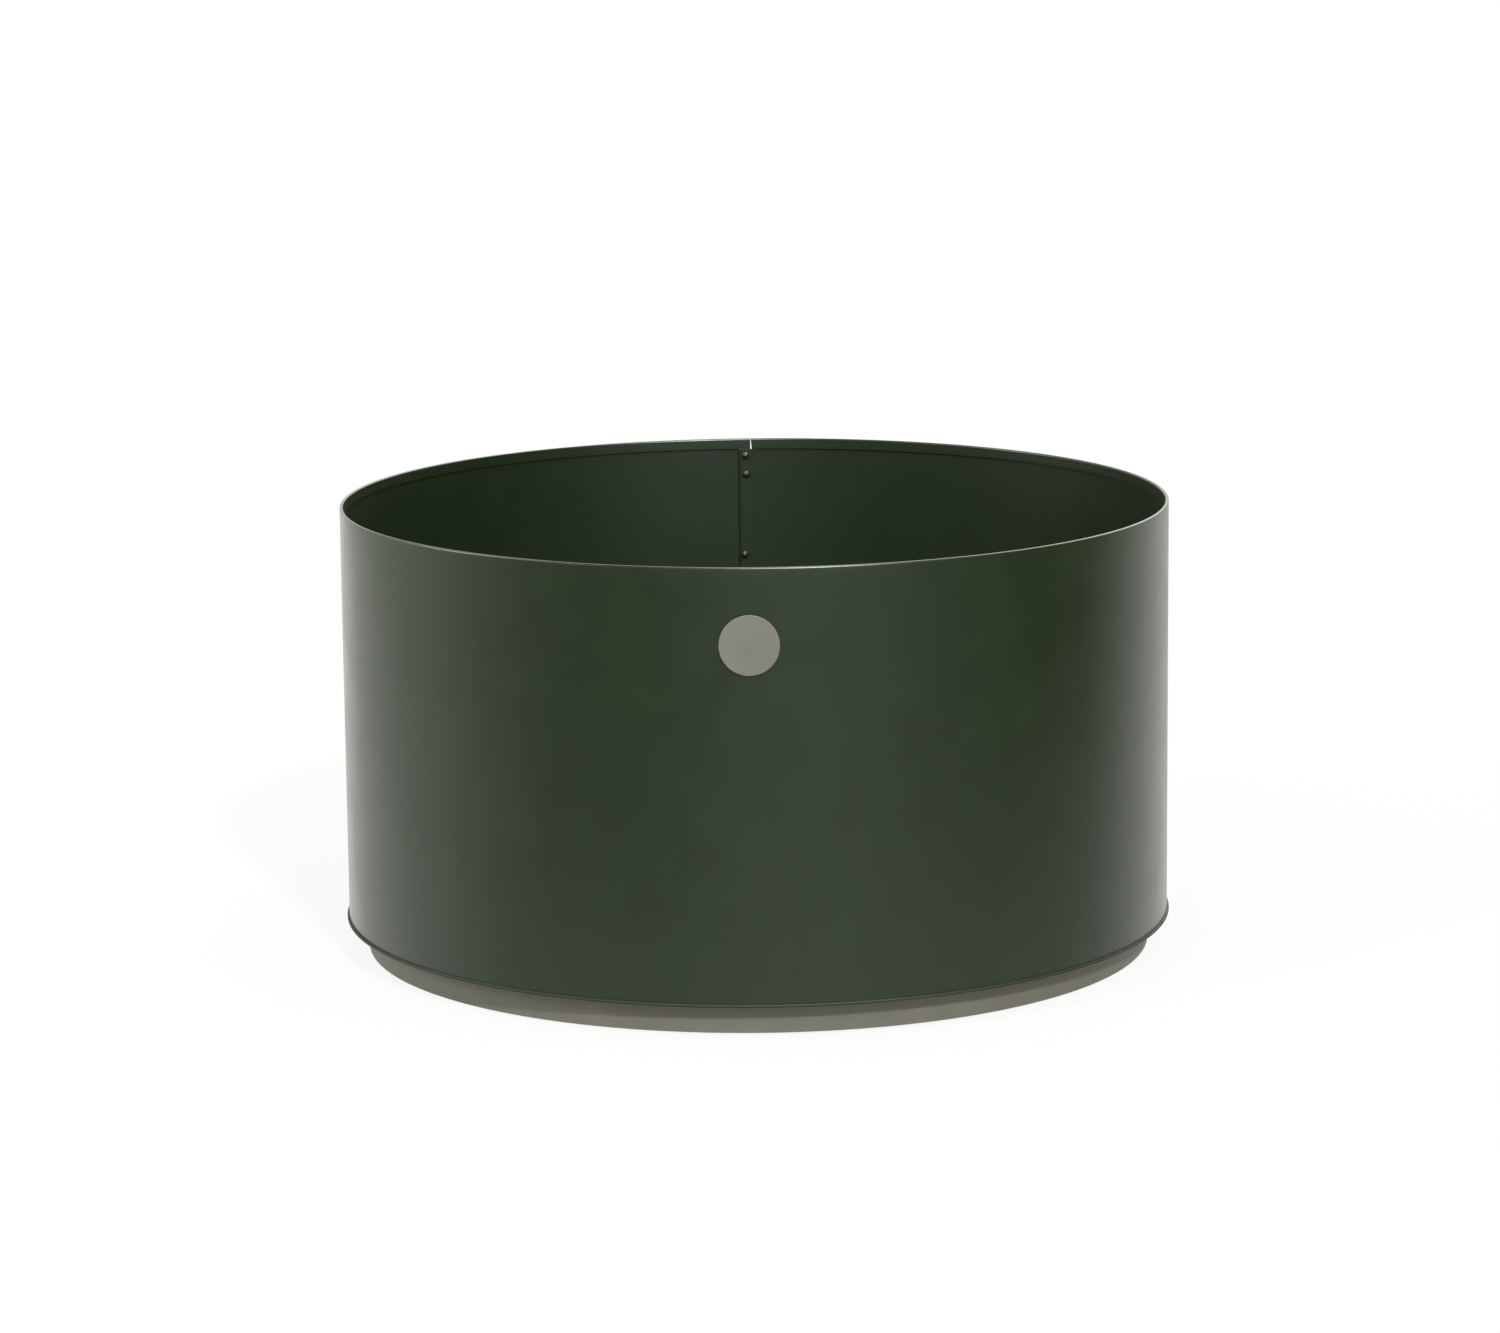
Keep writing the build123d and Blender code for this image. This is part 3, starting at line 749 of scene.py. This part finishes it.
    def build(self, shop: Workshop) -> None:
        """Join the rounded edge, the two flat faces and the holes' walls into one closed plate.

        Args:
            shop: Supplies the finish and takes the piece.
        """
        plate = Patchwork()
        turn = np.linspace(0, FULL_TURN, self.columns + 1)
        circle = np.stack([np.cos(turn), np.sin(turn)], axis=1)
        plate.add(self.edge_grid(circle))
        holes = self.holes()
        around = np.linspace(0, FULL_TURN, self.hole_steps, endpoint=False)
        hole_circle = np.stack([np.cos(around), np.sin(around)], axis=1)
        rims = holes[:, None, :2] + holes[:, None, 2:] * hole_circle[None]
        points, triangles = self.flat_face([self.flat_radius * circle[:-1], *rims], holes)
        for height, flip in ((self.top, False), (self.underside, True)):
            plate.add_triangles(np.column_stack([points, np.full(len(points), height)]), triangles, flip)
        for rim in rims:
            loop = np.concatenate([rim, rim[:1]])
            levels = (self.underside, self.top)
            plate.add(np.stack([np.column_stack([loop, np.full(len(loop), z)]) for z in levels]), flip=True)
        piece = plate.build("floor_shell", shop.materials[Slot.GREEN_COAT])
        shop.smooth(piece)
        shop.hand_over(piece, Slot.GREEN_COAT, "floor_plate")


@dataclass
class CarriedPieces:
    """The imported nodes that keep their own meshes, each with the slot of its finish."""

    slots: dict[str, Slot] = field(init=False)

    def __post_init__(self) -> None:
        """Read each node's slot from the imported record."""
        self.slots = {part["node"]: Slot(part["material_slot"]) for part in frame["record"]["subparts"]}

    def build(self, shop: Workshop, shown: set[str]) -> None:
        """Dress every node that is shown.

        Args:
            shop: Supplies the finishes.
            shown: Names of the nodes that no new piece stands for.
        """
        for name in sorted(shown):
            shop.dress(name, self.slots[name])


@dataclass(frozen=True)
class Softbox:
    """A flat lamp that only reflections show, as a studio's softboxes draw their shine along an edge.

    Attributes:
        name: Which softbox it is.
        azimuth: How far right of the camera it hangs, in degrees.
        elevation: The height of its middle above the horizon, in degrees.
        width: Its apparent width, in degrees.
        height: Its apparent height, in degrees.
        level: Its brightness, where white paper in the studio has 1.
        tint: sRGB colour of its light.
        distance: How far away it hangs, in metres.
        aim_height: Height above the ground of the point that it faces, in metres.
    """

    name: str
    azimuth: float
    elevation: float
    width: float
    height: float
    level: float
    tint: str
    distance: float = 3.0
    aim_height: float = 0.3

    def hang(self) -> None:
        """Hang the lamp so that it faces the planter, and give it the power that makes its brightness.

        A flat lamp's power is its brightness times pi times its area.
        """
        towards = direction_of(self.azimuth, self.elevation)
        data = bpy.data.lights.new(self.name, "AREA")
        data.shape = "RECTANGLE"
        data.size = 2 * self.distance * math.tan(math.radians(self.width / 2))
        data.size_y = 2 * self.distance * math.tan(math.radians(self.height / 2))
        data.energy = self.level * math.pi * data.size * data.size_y
        data.color = linear(self.tint)[:3]
        lamp = bpy.data.objects.new(self.name, data)
        lamp.location = towards * self.distance + Vector((0.0, 0.0, self.aim_height))
        lamp.rotation_mode = "QUATERNION"
        lamp.rotation_quaternion = towards.to_track_quat("Z", "Y")
        lamp.visible_camera = False
        lamp.visible_diffuse = False
        bpy.context.scene.collection.objects.link(lamp)


SOFTBOXES = (
    Softbox("key_softbox", 18.0, 50.0, 24.0, 50.0, 19.0, "#f6ffff"),
    Softbox("left_softbox", -92.0, 34.0, 16.0, 40.0, 8.5, "#fbffff"),
)


@dataclass(frozen=True)
class Sun:
    """A distant lamp that lights the planter itself.

    Attributes:
        name: Which lamp it is.
        azimuth: How far right of the camera it stands, in degrees.
        elevation: Its height above the horizon, in degrees.
        strength: Its strength.
        angle: Its apparent size, in degrees.
    """

    name: str
    azimuth: float
    elevation: float
    strength: float
    angle: float

    def hang(self) -> None:
        """Hang the lamp so that it shines on the planter."""
        data = bpy.data.lights.new(self.name, "SUN")
        data.energy = self.strength
        data.angle = math.radians(self.angle)
        lamp = bpy.data.objects.new(self.name, data)
        lamp.rotation_mode = "QUATERNION"
        lamp.rotation_quaternion = direction_of(self.azimuth, self.elevation).to_track_quat("Z", "Y")
        bpy.context.scene.collection.objects.link(lamp)


SUNS = (
    Sun("key_lamp", 17.0, 35.0, 1.42, 4.5),
    Sun("fill_lamp", -55.0, 30.0, 0.4, 14.0),
)


@dataclass(frozen=True)
class Glow:
    """A soft bright part of the room, or a dim one where its level is negative, that only reflections show.

    Attributes:
        azimuth: How far right of the camera its middle lies, in degrees.
        elevation: The height of its middle above the horizon, in degrees.
        core: Angle from its middle that it fills evenly, in degrees.
        reach: Angle from its middle at which it has faded out, in degrees.
        level: What it adds, where white paper in the studio has 1.
        tint: Linear red, green and blue of what it adds.
    """

    azimuth: float
    elevation: float
    core: float
    reach: float
    level: float
    tint: tuple[float, float, float]

    def add_to(self, tree: bpy.types.NodeTree, direction: bpy.types.NodeSocket, total: Any) -> bpy.types.NodeSocket:
        """Add this glow to the room's light.

        Its share eases from 0 to 1 with the cosine of the angle between a direction and its middle.

        Args:
            tree: The world's node tree.
            direction: Socket of the direction that is looked at.
            total: Socket or colour of the light so far.

        Returns:
            The socket of the light with this glow in it.
        """
        middle = direction_of(self.azimuth, self.elevation)
        cosine = add_node(
            tree, "ShaderNodeVectorMath", {"operation": "DOT_PRODUCT"}, i0=direction, i1=middle
        ).outputs["Value"]
        share = add_node(
            tree,
            "ShaderNodeMapRange",
            {"interpolation_type": "SMOOTHSTEP"},
            i0=cosine,
            i1=math.cos(math.radians(self.reach)),
            i2=math.cos(math.radians(self.core)),
            i3=0.0,
            i4=1.0,
        ).outputs[0]
        colour = tuple(self.level * part for part in self.tint)
        return add_node(
            tree, "ShaderNodeVectorMath", {"operation": "MULTIPLY_ADD"}, i0=share, i1=colour, i2=total
        ).outputs[0]


GLOWS = (
    # The bright backdrop behind the planter, to the left and to the right of it
    Glow(-128.0, -5.0, 22.0, 70.0, 0.6, (1.0, 1.03, 0.95)),
    Glow(160.0, 0.0, 28.0, 60.0, 0.62, (1.0, 1.01, 0.98)),
    # A cool window behind the camera, and the ceiling that it lights
    Glow(14.0, 0.0, 4.0, 42.0, 0.3, (0.85, 0.95, 1.1)),
    Glow(5.0, 28.0, 5.0, 36.0, 0.6, (0.9, 0.98, 1.1)),
    # The dim end of the room at the right
    Glow(100.0, -8.0, 15.0, 46.0, -0.2, (1.0, 1.0, 1.05)),
    # Lamps on the ceiling at the left and behind the planter at the right
    Glow(-100.0, 24.0, 5.0, 30.0, 1.0, (1.0, 1.0, 1.0)),
    Glow(155.0, 42.0, 8.0, 38.0, 3.6, (1.0, 1.0, 1.0)),
)


@dataclass
class Studio:
    """Plain pale floor, an even sky, the lamps and the camera.

    Attributes:
        camera_place: Where the camera stands, in metres.
        yaw: Turn of its view to the right of +Y, in degrees.
        pitch: Its view's dip below the horizon, in degrees.
        roll: Its clockwise roll, in degrees.
        lens: Focal length, in millimetres.
        sensor_width: Width of the camera's sensor, in millimetres.
        view_end: How far the camera sees, in metres.
        sky_fill: Strength of the light that comes from all round.
        fill_blue: The blue of that light, as a share of its red and green.
        room_light: Linear red, green and blue of the room where a reflection meets none of its glows.
        floor_size: Side of the floor, in metres.
        sheet_middle: Middle of the lit paper that reflections show on the floor, in metres.
        sheet_reach: Distance from its middle at which the paper has faded out, in metres.
        sheet_share: How much of the paper shows at its middle.
        sheet_level: The lit paper's brightness.
        paper_share: How much of the floor's white is its own to the camera, the rest being lit paper.
        paper_white: Brightness of that own white.
        covered: Radius in metres of the floor under the planter, which has no white of its own.
    """

    camera_place: tuple[float, float, float] = (0.0, -4.537, 1.1175)
    yaw: float = -0.065
    pitch: float = 10.84
    roll: float = -0.5907
    lens: float = 123.12
    sensor_width: float = 36.0
    view_end: float = 400.0
    sky_fill: float = 0.52
    fill_blue: float = 0.9
    room_light: tuple[float, float, float] = (0.37, 0.36, 0.33)
    floor_size: float = 160.0
    sheet_middle: tuple[float, float, float] = (0.1, 0.35, 0.0)
    sheet_reach: float = 2.2
    sheet_share: float = 0.65
    sheet_level: float = 1.2
    paper_share: float = 0.8
    paper_white: float = 1.1
    covered: float = 0.33

    def build(self) -> None:
        """Set up the floor, the light and the camera."""
        self.set_camera()
        self.light_sky()
        for lamp in (*SUNS, *SOFTBOXES):
            lamp.hang()
        self.lay_floor()
        bpy.context.scene.view_settings.view_transform = "Standard"

    def set_camera(self) -> None:
        """Place the camera from its position and its three angles."""
        yaw, pitch, roll = (math.radians(a) for a in (self.yaw, self.pitch, self.roll))
        ahead = Vector((math.sin(yaw) * math.cos(pitch), math.cos(yaw) * math.cos(pitch), -math.sin(pitch)))
        right = Vector((math.cos(yaw), -math.sin(yaw), 0.0))
        up = right.cross(ahead)
        tilted_right = right * math.cos(roll) + up * math.sin(roll)
        tilted_up = up * math.cos(roll) - right * math.sin(roll)
        turn = Matrix((tilted_right, tilted_up, -ahead)).transposed()
        data = bpy.data.cameras.new("photo_camera")
        data.sensor_width = self.sensor_width
        data.lens = self.lens
        data.clip_end = self.view_end
        camera = bpy.data.objects.new("photo_camera", data)
        camera.matrix_world = Matrix.Translation(self.camera_place) @ turn.to_4x4()
        bpy.context.scene.collection.objects.link(camera)
        bpy.context.scene.camera = camera

    def light_sky(self) -> None:
        """Give the world an even fill, a white background and a room with glows that reflections see."""
        world = bpy.data.worlds.new("studio_sky")
        bpy.context.scene.world = world
        world.use_nodes = True
        tree = world.node_tree
        tree.nodes.clear()
        rays = add_node(tree, "ShaderNodeLightPath")
        direction = add_node(tree, "ShaderNodeTexCoord").outputs["Generated"]
        room = self.room_light
        for glow in GLOWS:
            room = glow.add_to(tree, direction, room)
        fill = (self.sky_fill, self.sky_fill, self.fill_blue * self.sky_fill, 1.0)
        lit = add_node(
            tree, "ShaderNodeMix", {"data_type": "RGBA"}, i0=rays.outputs["Is Glossy Ray"], i6=fill, i7=room
        ).outputs[2]
        seen = add_node(
            tree,
            "ShaderNodeMix",
            {"data_type": "RGBA"},
            i0=rays.outputs["Is Camera Ray"],
            i6=lit,
            i7=(1.0, 1.0, 1.0, 1.0),
        ).outputs[2]
        background = add_node(tree, "ShaderNodeBackground", Color=seen, Strength=1.0)
        add_node(tree, "ShaderNodeOutputWorld", Surface=background.outputs[0])

    def lay_floor(self) -> None:
        """Lay a pale floor that stays white to the camera but for the planter's soft shadow."""
        half = self.floor_size / 2
        corners = [(-half, -half, 0.0), (half, -half, 0.0), (half, half, 0.0), (-half, half, 0.0)]
        mesh = bpy.data.meshes.new("studio_floor")
        mesh.from_pydata(corners, [], [(0, 1, 2, 3)])
        floor = bpy.data.objects.new("studio_floor", mesh)
        bpy.context.scene.collection.objects.link(floor)
        mesh.materials.append(self.paper_material())

    def paper_material(self) -> bpy.types.Material:
        """Matt white backdrop paper, as three kinds of ray see it.

        It is lit paper to bounced light, and mostly its own white to the camera except under the planter. To
        reflections it is a lit sheet that fades into the room.

        Returns:
            The finished material.
        """
        material = bpy.data.materials.new("matt_white_paper")
        material.use_nodes = True
        tree = material.node_tree
        tree.nodes.clear()
        rays = add_node(tree, "ShaderNodeLightPath")
        paper = add_node(tree, "ShaderNodeBsdfDiffuse", Color=linear(LIT_PAPER))
        white = add_node(tree, "ShaderNodeEmission", Color=linear("#ffffff"), Strength=self.paper_white)
        place = add_node(tree, "ShaderNodeTexCoord").outputs["Object"]
        out = add_node(tree, "ShaderNodeVectorMath", {"operation": "LENGTH"}, i0=place).outputs["Value"]
        bare = add_node(tree, "ShaderNodeMath", {"operation": "GREATER_THAN"}, i0=out, i1=self.covered).outputs[0]
        seen = rays.outputs["Is Camera Ray"]
        most = add_node(tree, "ShaderNodeMath", {"operation": "MULTIPLY"}, i0=seen, i1=self.paper_share).outputs[0]
        own = add_node(tree, "ShaderNodeMath", {"operation": "MULTIPLY"}, i0=most, i1=bare).outputs[0]
        lit = add_node(tree, "ShaderNodeMixShader", i0=own, i1=paper.outputs[0], i2=white.outputs[0]).outputs[0]
        away = add_node(
            tree, "ShaderNodeVectorMath", {"operation": "DISTANCE"}, i0=place, i1=self.sheet_middle
        ).outputs["Value"]
        share = add_node(
            tree,
            "ShaderNodeMapRange",
            {"interpolation_type": "SMOOTHSTEP"},
            i0=away,
            i1=0.0,
            i2=self.sheet_reach,
            i3=self.sheet_share,
            i4=0.0,
        ).outputs[0]
        clear = add_node(tree, "ShaderNodeBsdfTransparent").outputs[0]
        sheet = add_node(tree, "ShaderNodeEmission", Color=linear("#ffffff"), Strength=self.sheet_level).outputs[0]
        faded = add_node(tree, "ShaderNodeMixShader", i0=share, i1=clear, i2=sheet).outputs[0]
        shown = add_node(
            tree, "ShaderNodeMixShader", i0=rays.outputs["Is Glossy Ray"], i1=lit, i2=faded
        ).outputs[0]
        add_node(tree, "ShaderNodeOutputMaterial", Surface=shown)
        return material


def main() -> None:
    """Build the planter's pieces in order, dress the rest and set up the studio."""
    logging.basicConfig(level=logging.INFO, format="%(name)s: %(message)s")
    shop = Workshop()
    WallSheet().build(shop)
    FloorPlate().build(shop)
    shown = {name for name, node in frame["nodes"].items() if not node.hide_render}
    CarriedPieces().build(shop, shown)
    Studio().build()


if __name__ == "__main__":
    main()
